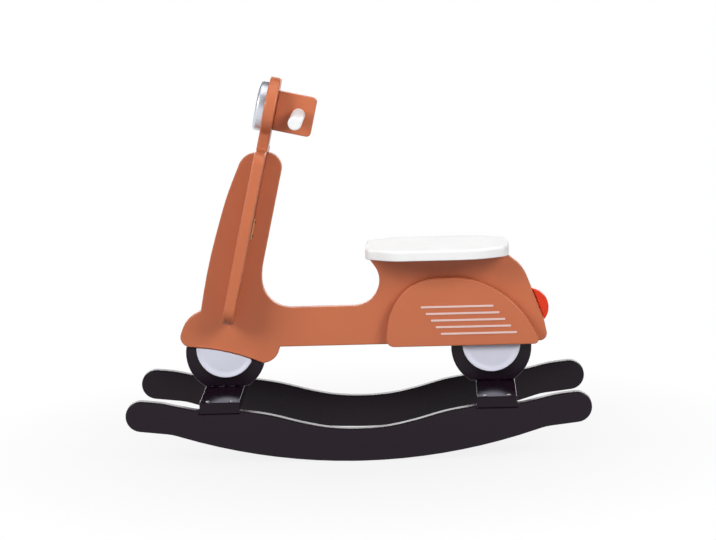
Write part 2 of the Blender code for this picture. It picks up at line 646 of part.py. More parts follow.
def make_side_panels(body):
    """Engine covers on both sides, doweled through the body, with five stripes each."""
    low = BODY_LOW - SIDE_DROP
    front = REAR_PANEL_X - PANEL_LENGTH
    corners = [
        (front, low, PANEL_FRONT_ROUND),
        (REAR_PANEL_X, low, PANEL_REAR_ROUND),
        corner(REAR_PANEL_X, low, PANEL_REAR),
        *[level_corner(REAR_PANEL_X, low + PANEL_RISE, offsets) for offsets in PANEL_CREST],
        corner(front, low, PANEL_FRONT),
    ]
    panels = []
    for side, word in ((-1, "left"), (1, "right")):
        inner, outer = side * (HALF + FIT), side * (HALF + FIT + SIDE_THICKNESS)
        panel = board(f"side_panel_{word}", rounded(corners), *sorted((inner, outer)), "y", TERRACOTTA)
        panels.append(panel)
        for i in range(STRIPE_COUNT):
            x = front + STRIPE_INSET + i * STRIPE_STEP
            z = BODY_LOW + STRIPE_FIRST_RISE - i * STRIPE_PITCH
            ends = (x, x + STRIPE_LENGTH + i * STRIPE_GROWTH)
            round_end = 0.45 * STRIPE_HEIGHT
            stripe = rounded([(a, z + b * STRIPE_HEIGHT / 2, round_end)
                              for a, b in ((ends[0], -1), (ends[1], -1), (ends[1], 1), (ends[0], 1))])
            faces = sorted((outer + side * FIT, outer + side * (FIT + STRIPE_THICKNESS)))
            board(f"stripe_{word}_{i + 1}", stripe, *faces, "y", SILVER, STRIPE_THICKNESS / 4)
    reach = HALF + FIT + 0.6 * SIDE_THICKNESS
    for word, (place, rise) in zip(("front", "rear"), SIDE_DOWEL_PLACES):
        x = front + place
        rod(f"side_dowel_{word}", (x, -reach, BODY_LOW + rise), (0, 1, 0), DOWEL_RADIUS, 2 * reach, WOOD)
        hole([body, *panels], (x, -reach - FIT, BODY_LOW + rise), (0, 1, 0), DOWEL_RADIUS,
             2 * (reach + FIT))


def make_tail_lamp(body):
    """Red lamp: a round board cut along the tail's edge."""
    disc = arc((TAIL_LAMP_X, BODY_LOW + TAIL_LAMP_RISE), TAIL_LAMP_RADIUS, 0, 2 * math.pi)[:-1]
    low, high = [Vector(corner[:2]) for corner in tail_edge()]
    outward = Vector((high.y - low.y, low.x - high.x)).normalized()
    part = clip(disc, low + outward * FIT, outward)
    ends = [point for point in part if point not in disc]
    outline = [point for point in part
               if point in ends or min(math.dist(point, end) for end in ends) > CUT_GAP]
    lamp = board("tail_light", outline, -HALF, HALF, "y", RED)
    pin = (TAIL_LAMP_X, 0, BODY_LOW + TAIL_LAMP_RISE)
    rod("tail_light_dowel", pin, (1, 0, 0), DOWEL_RADIUS, TAIL_DOWEL_LENGTH, WOOD)
    hole([body, lamp], (pin[0] - FIT, *pin[1:]), (1, 0, 0), DOWEL_RADIUS, TAIL_DOWEL_LENGTH + 2 * FIT)


def make_tie_plates(steering, frame):
    """Small plates screwed to the shield's rear face, one each side of the body."""
    back = HALF + FIT
    for side, word in ((-1, "left"), (1, "right")):
        middle = side * TIE_ASIDE
        outline = rounded([(middle + a * TIE_WIDTH / 2, TIE_FOOT + b * TIE_HEIGHT, 0.002)
                           for a, b in ((-1, 0), (1, 0), (1, 1), (-1, 1))])
        plate = board(f"tie_plate_{word}", outline, back, back + TIE_THICKNESS, "x", STEEL, 0.0005,
                      parent=frame)
        for height, z in (("lower", TIE_FOOT + TIE_SCREW_INSET),
                          ("upper", TIE_FOOT + TIE_HEIGHT - TIE_SCREW_INSET)):
            base = (back + TIE_THICKNESS + FIT, middle, z)
            headed(f"tie_screw_{word}_{height}", base, (-1, 0, 0), TIE_SCREW_RADIUS,
                   TIE_THICKNESS + TIE_SCREW_REACH, TIE_HEAD_RADIUS, TIE_HEAD_HEIGHT, DARK_STEEL, frame)
            hole([plate, steering], (base[0] + BOARD, middle, z), (-1, 0, 0), TIE_SCREW_RADIUS,
                 BOARD + TIE_THICKNESS + TIE_SCREW_REACH + FIT, frame)


for old in list(bpy.data.objects):
    bpy.data.objects.remove(old, do_unlink=True)

TERRACOTTA = material("terracotta_lacquer", (0.565, 0.182, 0.089), 0.45)
BLACK = material("black_lacquer", (0.022, 0.019, 0.022), 0.35)
WHITE = material("white_lacquer", (0.85, 0.85, 0.86), 0.35)
RED = material("red_lacquer", (0.80, 0.040, 0.018), 0.35)
SILVER = material("silver_paint", (0.55, 0.56, 0.60), 0.30, 0.7)
STEEL = material("zinc_steel", (0.60, 0.60, 0.61), 0.30, 1.0)
DARK_STEEL = material("dark_steel", (0.08, 0.06, 0.05), 0.40, 1.0)
WOOD = material("beech", (0.60, 0.42, 0.25), 0.60)

all_rockers = make_rockers()
all_plates = make_cross_plates(all_rockers)
body_panel, wheel_arch = make_body()
make_wheels(body_panel, wheel_arch, all_plates)
steer = steering_frame()
steering_board = make_steering_board(body_panel, steer)
make_head(steering_board, steer)
make_seat(body_panel)
make_side_panels(body_panel)
make_tail_lamp(body_panel)
make_tie_plates(steering_board, steer)
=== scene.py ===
"""Rocking scooter toy: lacquered boards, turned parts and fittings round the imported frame.

Metres, +Z up. The front points to -X and the rider's left is -Y, the side that the camera sees.
"""

import math

import bmesh
import bpy
from bpy.props import FloatProperty, FloatVectorProperty, PointerProperty
from mathutils import Matrix, Vector


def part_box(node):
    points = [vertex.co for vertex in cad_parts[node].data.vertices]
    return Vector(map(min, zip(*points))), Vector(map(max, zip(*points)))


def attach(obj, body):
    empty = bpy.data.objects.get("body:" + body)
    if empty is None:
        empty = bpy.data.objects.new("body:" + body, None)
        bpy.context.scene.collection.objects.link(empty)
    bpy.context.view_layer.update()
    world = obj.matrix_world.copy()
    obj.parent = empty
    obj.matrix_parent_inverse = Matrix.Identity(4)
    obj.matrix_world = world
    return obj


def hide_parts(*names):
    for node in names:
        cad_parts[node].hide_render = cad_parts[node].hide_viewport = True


bl_info = {
    "name": "Rocking scooter toy",
    "version": (1, 0, 0),
    "blender": (4, 5, 0),
    "location": "View3D > Sidebar > Rocking scooter",
    "description": "Dresses the packed rocking scooter with lacquered boards and detailed fittings",
    "category": "Object",
}

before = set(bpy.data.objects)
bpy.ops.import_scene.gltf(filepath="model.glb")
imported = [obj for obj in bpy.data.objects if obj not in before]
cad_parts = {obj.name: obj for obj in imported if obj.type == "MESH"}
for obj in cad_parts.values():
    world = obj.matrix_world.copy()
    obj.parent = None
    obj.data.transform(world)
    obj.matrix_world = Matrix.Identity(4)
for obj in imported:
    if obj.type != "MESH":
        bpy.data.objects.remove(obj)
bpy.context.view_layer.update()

MM = 0.001
BODY = "root"
ACROSS = Vector((0, 1, 0))
UPWARD = Vector((0, 0, 1))
DOWNWARD = Vector((0, 0, -1))

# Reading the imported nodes
JOIN_DISTANCE = 0.001 * MM      # points of a node's loose triangles closer than this are one point
FLAT_ANGLE = math.radians(0.3)  # faces of a node that turn less than this are one flat face
LEVEL_SLACK = 0.01 * MM         # an edge whose ends differ by less than this in depth lies level
RIM_SLACK = 0.02 * MM           # a crease may lie this much deeper than its rim's rounding
CREASE_TURN = 0.12              # change of a normal's depth share that makes an edge a crease
WALL_TILT = 0.005               # depth share of a normal under which a hub's face is a cut wall
WALL_AREA = 4 * MM * MM         # smaller walls are only slivers
WALL_INSET = 1.5 * MM           # a cut wall lies at least this far inside the hub's round edge

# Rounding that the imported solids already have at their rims, and how finely more is laid over it
BOARD_RIM = 2.2 * MM
PLATE_RIM = 1.1 * MM
SEAT_RIM = 4.5 * MM
SEAT_UNDER_RIM = 1.5 * MM
TIE_RIM = 0.5 * MM
STRIPE_RIM = 0.2 * MM
RIM_SEGMENTS = 2

# Fineness of round shapes
SHARP_ANGLE = math.radians(38)
LATHE_STEPS = 72
HUB_STEPS = 96
PLUG_STEPS = 48
SCREW_STEPS = 24

# Screws, as shares of the head's radius and height, and of the shank's radius
SCREW_FLAT = 0.72               # flat ring round the recess
SCREW_HEAD = ((0.93, -0.30), (1.0, -0.72), (1.0, -1.0))
SCREW_TIP = 0.3                 # blunt tip

# Width of the patterns in the finishes
CLOUD = 55 * MM                 # slow drift of a sprayed film's tone
RIPPLE = 2.5 * MM               # orange peel
FIBRE = 1.1 * MM                # raised fibres on sawn edges
FLAKE = 0.5 * MM                # aluminium flakes
PLATING = 1.5 * MM              # clouds in a plating
FLECK = 0.5 * MM                # flecks in beech, across the grain
ALONG_GRAIN = 0.08              # the pattern's scale along the grain, as a share of that across it

# Relief of these patterns, from their lowest to their highest point
PEEL_RELIEF = 0.018 * MM
FLAKE_RELIEF = 0.01 * MM
PLATING_RELIEF = 0.02 * MM
FLECK_RELIEF = 0.05 * MM

# Tone of their darker parts, as a share of the tint
THICK_FILM = 0.94
TURNED_FLAKE = 0.86
THICK_PLATING = 0.82
DARK_FLECK = 0.62

# Colour sockets of a Mix node
MIX_FIRST, MIX_SECOND, MIX_RESULT = 6, 7, 2

# Stage
WHITE = (1, 1, 1, 1)
FLOOR_HALF = 30                 # half the width of the floor, in metres
FLOOR_WHITE = (0.2, 0.7)        # it turns plain white between these distances from its middle
ROOM_DUSK = (0.05, 0.3)         # the room gets darker between these upward shares of a direction
SOFT_BOXES = (                  # name, place, point looked at, width, height, setting of its power
    ("left_box", (-2.5, -2.5, 2.2), (0, 0, 0.25), 1.8, 1.8, "key_watts"),
    ("right_box", (2.5, -2.5, 2.2), (0, 0, 0.25), 1.8, 1.8, "key_watts"),
    ("overhead_box", (0, -0.2, 2.8), (0, 0, 0.3), 2.0, 2.0, "top_watts"),
    ("back_box", (0, 13, 2.4), (0, 0, 0.6), 14, 5, "back_watts"),
)
SENSOR_WIDTH = 36               # in millimetres, as for the lens
FAR_CLIP = 100


def linear(text):
    """Turn an sRGB hex colour into linear red, green and blue."""
    values = [int(text[i:i + 2], 16) / 255 for i in (1, 3, 5)]
    return [v / 12.92 if v <= 0.04045 else ((v + 0.055) / 1.055) ** 2.4 for v in values]


def colour(label, text, about):
    """A colour that the user may change, given as an sRGB hex value."""
    return FloatVectorProperty(name=label, description=about, default=linear(text), size=3,
                               subtype="COLOR", min=0, max=1)


def length(label, size, about):
    """A size in metres that the user may change."""
    return FloatProperty(name=label, description=about, default=size, min=0, unit="LENGTH")


def place(label, size, about):
    """A place along the toy, in metres, that the user may change."""
    return FloatProperty(name=label, description=about, default=size, unit="LENGTH")


def angle(label, turn, about):
    """An angle in radians that the user may change."""
    return FloatProperty(name=label, description=about, default=turn, subtype="ANGLE")


def watts(label, power, about):
    """Power of a lamp that the user may change."""
    return FloatProperty(name=label, description=about, default=power, min=0, unit="POWER")


def share(label, value, about):
    """A number from 0 to 1 that the user may change."""
    return FloatProperty(name=label, description=about, default=value, min=0, max=1,
                         subtype="FACTOR")


class ScooterFinishes(bpy.types.PropertyGroup):
    """Colours and gloss of the toy's finishes."""

    terracotta: colour("Terracotta lacquer", "#C8704A",
                       "Body, steering board, handle plate and side panels")
    black: colour("Black lacquer", "#170A17", "Rockers, cross plates and wheels")
    white: colour("White lacquer", "#F5F5F5", "Seat, its plugs and the handle bar")
    # the hubs' tint is the white lacquer made greyer and bluer: painted shade for the shade they
    # sit in under the body
    hub: colour("Hub lacquer", "#D9DAE9", "The four dished hubs")
    red: colour("Red lacquer", "#E03A1B", "Tail light")
    silver: colour("Silver paint", "#E2E6F0", "Headlight")
    stripe: colour("Stripe paint", "#F4D3CC", "Ten stripes on the side panels")
    zinc: colour("Zinc plating", "#C6C8CB", "Plate screws and wheel bolts")
    brass: colour("Brass plating", "#DDA878", "Tie plates behind the shield")
    browned: colour("Browned steel", "#4A3B33", "Small screws of the tie plates")
    beech: colour("Beech", "#CDAA80", "Dowels inside the joints")
    satin: share("Satin roughness", 0.33, "Roughness of the terracotta, hub and bar lacquers")
    base_satin: share("Base roughness", 0.26, "Roughness of the rockers' and wheels' black lacquer")
    plate_gloss: share("Plate roughness", 0.13, "Roughness of the cross plates' glossier black")
    seat_matt: share("Seat roughness", 0.50, "Roughness of the seat's white lacquer")
    gloss: share("Gloss roughness", 0.22, "Roughness of the red lacquer")


class ScooterSizes(bpy.types.PropertyGroup):
    """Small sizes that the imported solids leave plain."""

    soften: length("Rim softening", 0.45 * MM, "Extra rounding laid over each rounded board rim")
    plate_soften: length("Plate softening", 0.22 * MM, "The same on the cross plates")
    seat_soften: length("Seat softening", 0.9 * MM, "The same on the seat's upper rim")
    seat_under_soften: length("Seat under softening", 0.3 * MM, "The same on the seat's lower rim")
    tie_soften: length("Tie plate softening", 0.1 * MM, "The same on the tie plates")
    stripe_soften: length("Stripe softening", 0.04 * MM, "The same on the stripes")
    lamp_round: length("Headlight rounding", 5.0 * MM, "Rounding at the headlight's front edge")
    lamp_crown: length("Headlight crown", 0.5 * MM, "How far its middle stands over its rim")
    lamp_flat: share("Headlight flat", 0.72, "Its flat middle, as a share of its radius")
    lamp_flat_round: length("Headlight flat rounding", 3.0 * MM, "Rounding round the flat middle")
    bar_ease: length("Bar end rounding", 2.0 * MM, "Rounding at the handle bar's ends")
    hub_radius: length("Hub radius", 47.5 * MM, "Radius of the hubs, before the body's cut")
    hub_rim: length("Hub rim", 1.9 * MM, "Flat ring at the edge of a hub")
    hub_slope: length("Hub slope", 6.5 * MM, "Width of the slope down to the hub's sunk face")
    hub_dish: length("Hub dish", 2.5 * MM, "Depth of the hub's sunk face")
    hub_edge_round: length("Hub edge rounding", 0.6 * MM, "Rounding at a hub's outer edge")
    hub_rim_round: length("Hub rim rounding", 0.5 * MM, "Rounding where the slope starts")
    hub_dish_round: length("Hub dish rounding", 2.0 * MM, "Rounding at the foot of the slope")
    front_axle: place("Front wheel", -219.6 * MM, "Middle of the front wheel along the toy")
    rear_axle: place("Rear wheel", 217.6 * MM, "Middle of the rear wheel along the toy")
    recess_arm: length("Screw recess arm", 1.7 * MM, "Half the span of a plate screw's recess")
    recess_width: length("Screw recess width", 0.7 * MM, "Width of that recess's arms")
    recess_depth: length("Screw recess depth", 0.9 * MM, "Depth of that recess")
    screw_head: length("Screw head", 1.4 * MM, "Height of a plate screw's head")
    screw_shank: length("Screw shank", 2.0 * MM, "Radius of a plate screw's shank")
    bolt_head: length("Bolt head", 3.0 * MM, "Height of a wheel bolt's head")
    bolt_shank: length("Bolt shank", 3.0 * MM, "Radius of a wheel bolt's shank")
    socket_across: length("Bolt socket", 4.6 * MM, "Hexagon socket, from corner to corner")
    socket_depth: length("Bolt socket depth", 1.8 * MM, "Depth of that socket")
    tie_recess_arm: length("Tie screw recess arm", 1.275 * MM, "Half its span")
    tie_recess_width: length("Tie screw recess width", 0.56 * MM, "Width of that recess's arms")
    tie_recess_depth: length("Tie screw recess depth", 0.7 * MM, "Depth of that recess")
    tie_head: length("Tie screw head", 1.2 * MM, "Height of a tie screw's head")
    tie_shank: length("Tie screw shank", 1.5 * MM, "Radius of a tie screw's shank")
    plug_depth: length("Seat plug", 3.0 * MM, "Height of the round plug over a seat screw")
    plug_shank: length("Seat screw shank", 2.5 * MM, "Radius of a seat screw's shank")
    plug_round: length("Seat plug rounding", 0.5 * MM, "Rounding at a plug's upper edge")


class ScooterStage(bpy.types.PropertyGroup):
    """Camera and studio light."""

    lens: FloatProperty(name="Lens", description="Focal length on a 36 mm sensor", default=144.97,
                        min=1, subtype="DISTANCE_CAMERA")
    distance: length("Camera distance", 4.7316, "From the camera to the point that it looks at")
    yaw: angle("Yaw", -0.0319896, "Camera turned about the upright")
    pitch: angle("Pitch", 0.1603720, "Camera tilted down")
    roll: angle("Roll", -0.0300402, "Camera turned about its own line")
    target: FloatVectorProperty(name="Target", description="Point in the middle of the picture",
                                default=(0.002073, 0.0, 0.288922), size=3, subtype="TRANSLATION")
    key_watts: watts("Front boxes", 94, "Power of each of the two boxes in front, left and right")
    top_watts: watts("Top box", 20, "Power of the box above the toy")
    back_watts: watts("Far box", 640, "Power of the box that lights the floor far behind")
    room_low: share("Room at eye level", 0.56, "Brightness of the room at the horizon")
    room_high: share("Room overhead", 0.08, "Brightness of the room's ceiling")
    floor_tint: colour("Floor", "#A0A0A2", "Colour with which it throws light back at the toy")
    floor_near: share("Floor under the toy", 0.86, "Share of plain white that the camera sees here")


# Meshes

def merged_copy(node):
    """Return a bmesh of a CAD node, its loose triangles joined and its flat faces made whole."""
    bm = bmesh.new()
    bm.from_mesh(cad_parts[node].data)
    bmesh.ops.remove_doubles(bm, verts=bm.verts[:], dist=JOIN_DISTANCE)
    bmesh.ops.dissolve_limit(bm, angle_limit=FLAT_ANGLE, verts=bm.verts[:], edges=bm.edges[:])
    return bm


def largest_face(bm):
    """Return the normal of a shape's largest flat face."""
    return max(bm.faces, key=lambda face: face.calc_area()).normal.copy()


def bevel(bm, edges, width, segments):
    """Round off these edges."""
    bmesh.ops.bevel(bm, geom=edges, offset=width, offset_type="OFFSET", segments=segments,
                    profile=0.5, affect="EDGES", material=-1)


def soften_rim(bm, axis, levels, rim, width):
    """Bevel the long creases of a board's rounded rims, so that their facets turn into one round.

    levels are the places along axis of the faces that these rims surround.
    """
    creases = []
    for edge in bm.edges:
        if len(edge.link_faces) != 2:
            continue
        a, b = (min(abs(vert.co.dot(axis) - level) for level in levels) for vert in edge.verts)
        turn = abs(edge.link_faces[0].normal.dot(axis) - edge.link_faces[1].normal.dot(axis))
        if abs(a - b) < LEVEL_SLACK and a < rim + RIM_SLACK and turn > CREASE_TURN:
            creases.append(edge)
    bevel(bm, creases, width, RIM_SEGMENTS)


def piece(name, bm, material, slot, *nodes):
    """Turn a bmesh into a finished piece that stands for CAD nodes and rides on the toy."""
    mesh = bpy.data.meshes.new(name)
    bm.to_mesh(mesh)
    bm.free()
    mesh.materials.append(material)
    mesh.shade_smooth()
    mesh.set_sharp_from_angle(angle=SHARP_ANGLE)
    made = bpy.data.objects.new(name, mesh)
    bpy.context.scene.collection.objects.link(made)
    weighting = made.modifiers.new("even_shading", "WEIGHTED_NORMAL")
    weighting.keep_sharp = True
    weighting.weight = 100
    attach(made, BODY)
    if nodes:
        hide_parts(*nodes)
    return made


def board(name, node, material, slot, rim=BOARD_RIM, width=None):
    """A board: its CAD node's own outline, with the rim's rounding made smooth."""
    bm = merged_copy(node)
    if width is None:
        width = bpy.context.scene.scooter_sizes.soften
    axis = largest_face(bm)
    depths = [vert.co.dot(axis) for vert in bm.verts]
    soften_rim(bm, axis, (min(depths), max(depths)), rim, width)
    return piece(name, bm, material, slot, node)


def place_on(bm, base, direction):
    """Stand a shape made round +Z on base, pointing along direction."""
    turn = Vector(direction).to_track_quat("Z", "Y").to_matrix().to_4x4()
    bmesh.ops.transform(bm, matrix=Matrix.Translation(base) @ turn, verts=bm.verts[:])


def node_line(node, direction):
    """Return where a node's own axis starts along direction, its length there and its radius."""
    direction = Vector(direction).normalized()
    points = [vert.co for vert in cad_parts[node].data.vertices]
    reach = [point.dot(direction) for point in points]
    around = [point - direction * along for point, along in zip(points, reach)]
    centre = Vector([(min(p[i] for p in around) + max(p[i] for p in around)) / 2 for i in range(3)])
    radius = max((p - centre).length for p in around)
    return centre + direction * min(reach), max(reach) - min(reach), radius


def lathe(profile, steps=LATHE_STEPS):
    """Spin a few (radius, height) corners once round Z into a closed bmesh."""
    bm = bmesh.new()
    corners = [bm.verts.new((radius, 0, height)) for radius, height in profile]
    edges = [bm.edges.new(pair) for pair in zip(corners, corners[1:])]
    bmesh.ops.spin(bm, geom=corners + edges, cent=(0, 0, 0), axis=UPWARD, angle=math.tau,
                   steps=steps, use_merge=True)
    bmesh.ops.remove_doubles(bm, verts=bm.verts[:], dist=JOIN_DISTANCE)
    bmesh.ops.recalc_face_normals(bm, faces=bm.faces[:])
    return bm


def round_ring(bm, radius, height, width, segments):
    """Bevel the ring of edges that lies at one radius and height of a turned shape."""
    ring = [edge for edge in bm.edges
            if all(abs(math.hypot(*vert.co.xy) - radius) < JOIN_DISTANCE
                   and abs(vert.co.z - height) < JOIN_DISTANCE for vert in edge.verts)]
    bevel(bm, ring, width, segments)


def cut_off(bm, point, outward):
    """Cut away what lies outside a plane, and close the cut."""
    bmesh.ops.bisect_plane(bm, geom=bm.verts[:] + bm.edges[:] + bm.faces[:],
                           dist=JOIN_DISTANCE / 10, plane_co=point, plane_no=outward,
                           clear_outer=True)
    bmesh.ops.holes_fill(bm, edges=[edge for edge in bm.edges if edge.is_boundary])


def grow(bm, edges):
    """Extrude a loop of edges; return the new loop's points and edges."""
    grown = bmesh.ops.extrude_edge_only(bm, edges=edges)["geom"]
    points = [item for item in grown if isinstance(item, bmesh.types.BMVert)]
    loop = [item for item in grown
            if isinstance(item, bmesh.types.BMEdge) and all(vert in points for vert in item.verts)]
    return points, loop


def recessed_screw(recess, depth, head_radius, head_height, shank_radius, total):
    """A screw whose head looks along +Z, with its top at the origin.

    recess lists the corners of its drive.
    """
    bm = bmesh.new()
    bottom = bm.faces.new([bm.verts.new((x, y, -depth)) for x, y in recess])
    mouth, inner = grow(bm, bottom.edges[:])
    bmesh.ops.translate(bm, verts=mouth, vec=UPWARD * depth)
    ring = bmesh.ops.create_circle(bm, radius=SCREW_FLAT * head_radius, segments=SCREW_STEPS)
    outer = list({edge for vert in ring["verts"] for edge in vert.link_edges})
    bmesh.ops.bridge_loops(bm, edges=inner + outer)
    steps = [(radius * head_radius, height * head_height) for radius, height in SCREW_HEAD]
    steps += [(shank_radius, -head_height), (shank_radius, 2 * shank_radius - total),
              (SCREW_TIP * shank_radius, -total)]
    for radius, height in steps:
        points, outer = grow(bm, outer)
        for vert in points:
            vert.co = (*(vert.co.xy.normalized() * radius), height)
    bmesh.ops.edgeloop_fill(bm, edges=outer)
    bmesh.ops.recalc_face_normals(bm, faces=bm.faces[:])
    return bm


def cross_recess(arm, width):
    """Corners of a cross recess, round the origin."""
    w = width / 2
    quarter = [(arm, -w), (arm, w), (w, w)]
    turned = []
    for turn in range(4):
        spun = Matrix.Rotation(turn * math.pi / 2, 2)
        turned += [tuple(spun @ Vector(corner)) for corner in quarter]
    return turned


def hex_recess(across):
    """Corners of a hexagon socket, round the origin."""
    turns = [i * math.pi / 3 for i in range(6)]
    return [(across / 2 * math.cos(turn), across / 2 * math.sin(turn)) for turn in turns]


def steering_axis():
    """Return the way the steering board's rear face looks, read from its largest flat face."""
    bm = merged_copy("steering_board")
    axis = largest_face(bm)
    bm.free()
    return axis if axis.x > 0 else -axis


# Finishes

def add_node(tree, kind, inputs=None, **settings):
    """Add a shader node with its settings.

    inputs maps a socket to a value or to the output that feeds it.
    """
    node = tree.nodes.new(kind)
    for name, value in settings.items():
        setattr(node, name, value)
    for key, value in (inputs or {}).items():
        if isinstance(value, bpy.types.NodeSocket):
            tree.links.new(value, node.inputs[key])
        else:
            node.inputs[key].default_value = value
    return node


def start_material(name):
    """Return a new material, its tree and its Principled shader."""
    made = bpy.data.materials.new(name)
    made.use_nodes = True
    tree = made.node_tree
    return made, tree, tree.nodes["Principled BSDF"]


def size_to_scale(size):
    """Noise scale whose blotches are about this wide, in metres."""
    return 1 / size


def mixed(tree, factor, tint, dark):
    """Mix a tint with the same tint at its dark share of brightness; return the colour's output."""
    return add_node(tree, "ShaderNodeMix", {
        "Factor": factor, MIX_FIRST: (*tint, 1), MIX_SECOND: (*[c * dark for c in tint], 1)},
        data_type="RGBA").outputs[MIX_RESULT]


def connect(tree, shader, shade, height, strength, relief):
    """Give a shader its colour, and bumps of this relief from a height pattern."""
    bump = add_node(tree, "ShaderNodeBump",
                    {"Height": height, "Strength": strength, "Distance": relief})
    tree.links.new(shade, shader.inputs["Base Color"])
    tree.links.new(bump.outputs["Normal"], shader.inputs["Normal"])


def lacquer(name, tint, roughness, facing, specular=0.5):
    """Sprayed lacquer on sanded fibreboard.

    The sprayed film dries with a faint orange peel. On the sawn edges the board drinks more of it,
    so these are a touch matter and show the raised fibres through the film. facing is the way that
    the board's faces look, which tells the edges from the faces.
    """
    made, tree, shader = start_material(name)
    spot = add_node(tree, "ShaderNodeTexCoord")
    along = add_node(tree, "ShaderNodeVectorMath", {0: spot.outputs["Normal"], 1: facing},
                     operation="DOT_PRODUCT").outputs["Value"]
    flat = add_node(tree, "ShaderNodeMath", {0: along}, operation="ABSOLUTE").outputs[0]
    edge = add_node(tree, "ShaderNodeMapRange",
                    {"Value": flat, "From Min": 0.75, "From Max": 0.2}).outputs["Result"]
    cloud = add_node(tree, "ShaderNodeTexNoise", {
        "Vector": spot.outputs["Object"], "Scale": size_to_scale(CLOUD),
        "Detail": 3.0, "Roughness": 0.6}).outputs["Fac"]
    fibre = add_node(tree, "ShaderNodeTexNoise", {
        "Vector": spot.outputs["Object"], "Scale": size_to_scale(FIBRE),
        "Detail": 2.0, "Roughness": 0.7}).outputs["Fac"]
    ripple = add_node(tree, "ShaderNodeTexNoise", {
        "Vector": spot.outputs["Object"], "Scale": size_to_scale(RIPPLE),
        "Detail": 1.0, "Roughness": 0.4}).outputs["Fac"]
    # the tone drifts slightly, as the film's thickness does
    tone = add_node(tree, "ShaderNodeMapRange", {
        "Value": cloud, "From Min": 0.3, "From Max": 0.7,
        "To Min": 0.0, "To Max": 0.55}).outputs["Result"]
    shade = mixed(tree, tone, tint, THICK_FILM)
    # so does the gloss, and the fibres of the edges dull it
    gloss = add_node(tree, "ShaderNodeMapRange", {
        "Value": cloud, "From Min": 0.25, "From Max": 0.75,
        "To Min": roughness - 0.03, "To Max": roughness + 0.04}).outputs["Result"]
    raised = add_node(tree, "ShaderNodeMath", {0: edge, 1: fibre}, operation="MULTIPLY").outputs[0]
    matt = add_node(tree, "ShaderNodeMath", {0: raised, 1: 0.12, 2: gloss},
                    operation="MULTIPLY_ADD").outputs[0]
    # orange peel on the faces, with the raised fibres added on the edges
    relief = add_node(tree, "ShaderNodeMath", {0: raised, 1: 0.12, 2: ripple},
                      operation="MULTIPLY_ADD").outputs[0]
    connect(tree, shader, shade, relief, 0.8, PEEL_RELIEF)
    tree.links.new(matt, shader.inputs["Roughness"])
    shader.inputs["Specular IOR Level"].default_value = specular
    return made


def metal_flake_paint(name, tint):
    """Silver metallic paint: fine aluminium flakes in a clear binder, sprayed on wood.

    The flakes are drawn 0.5 mm wide, coarser than real ones, so that their sparkle shows.
    """
    made, tree, shader = start_material(name)
    spot = add_node(tree, "ShaderNodeTexCoord").outputs["Object"]
    flakes = add_node(tree, "ShaderNodeTexVoronoi", {"Vector": spot, "Scale": size_to_scale(FLAKE)})
    grey = add_node(tree, "ShaderNodeSeparateColor", {"Color": flakes.outputs["Color"]}).outputs[0]
    # each flake has its own tone, gloss and tilt
    shade = mixed(tree, grey, tint, TURNED_FLAKE)
    rough = add_node(tree, "ShaderNodeMapRange",
                     {"Value": grey, "To Min": 0.28, "To Max": 0.40}).outputs["Result"]
    connect(tree, shader, shade, grey, 0.6, FLAKE_RELIEF)
    tree.links.new(rough, shader.inputs["Roughness"])
    shader.inputs["Metallic"].default_value = 0.75
    return made


def plated_steel(name, tint, roughness):
    """Plated or browned steel: a thin, slightly cloudy coat that is duller where it is thicker."""
    made, tree, shader = start_material(name)
    spot = add_node(tree, "ShaderNodeTexCoord").outputs["Object"]
    cloud = add_node(tree, "ShaderNodeTexNoise", {
        "Vector": spot, "Scale": size_to_scale(PLATING), "Detail": 3.0}).outputs["Fac"]
    shade = mixed(tree, cloud, tint, THICK_PLATING)
    rough = add_node(tree, "ShaderNodeMapRange", {
        "Value": cloud, "To Min": roughness - 0.08, "To Max": roughness + 0.08}).outputs["Result"]
    connect(tree, shader, shade, cloud, 0.5, PLATING_RELIEF)
    tree.links.new(rough, shader.inputs["Roughness"])
    shader.inputs["Metallic"].default_value = 1.0
    return made


def bare_beech(name, tint, stretch):
    """Bare turned beech: short darker flecks, about 0.5 mm wide and 6 mm long, along the grain."""
    made, tree, shader = start_material(name)
    spot = add_node(tree, "ShaderNodeTexCoord").outputs["Object"]
    drawn = add_node(tree, "ShaderNodeMapping", {"Vector": spot, "Scale": stretch}).outputs[0]
    fleck = add_node(tree, "ShaderNodeTexNoise", {
        "Vector": drawn, "Scale": size_to_scale(FLECK),
        "Detail": 3.0, "Roughness": 0.6}).outputs["Fac"]
    mark = add_node(tree, "ShaderNodeMapRange",
                    {"Value": fleck, "From Min": 0.5, "From Max": 0.75}).outputs["Result"]
    connect(tree, shader, mixed(tree, mark, tint, DARK_FLECK), fleck, 0.6, FLECK_RELIEF)
    shader.inputs["Roughness"].default_value = 0.62
    return made


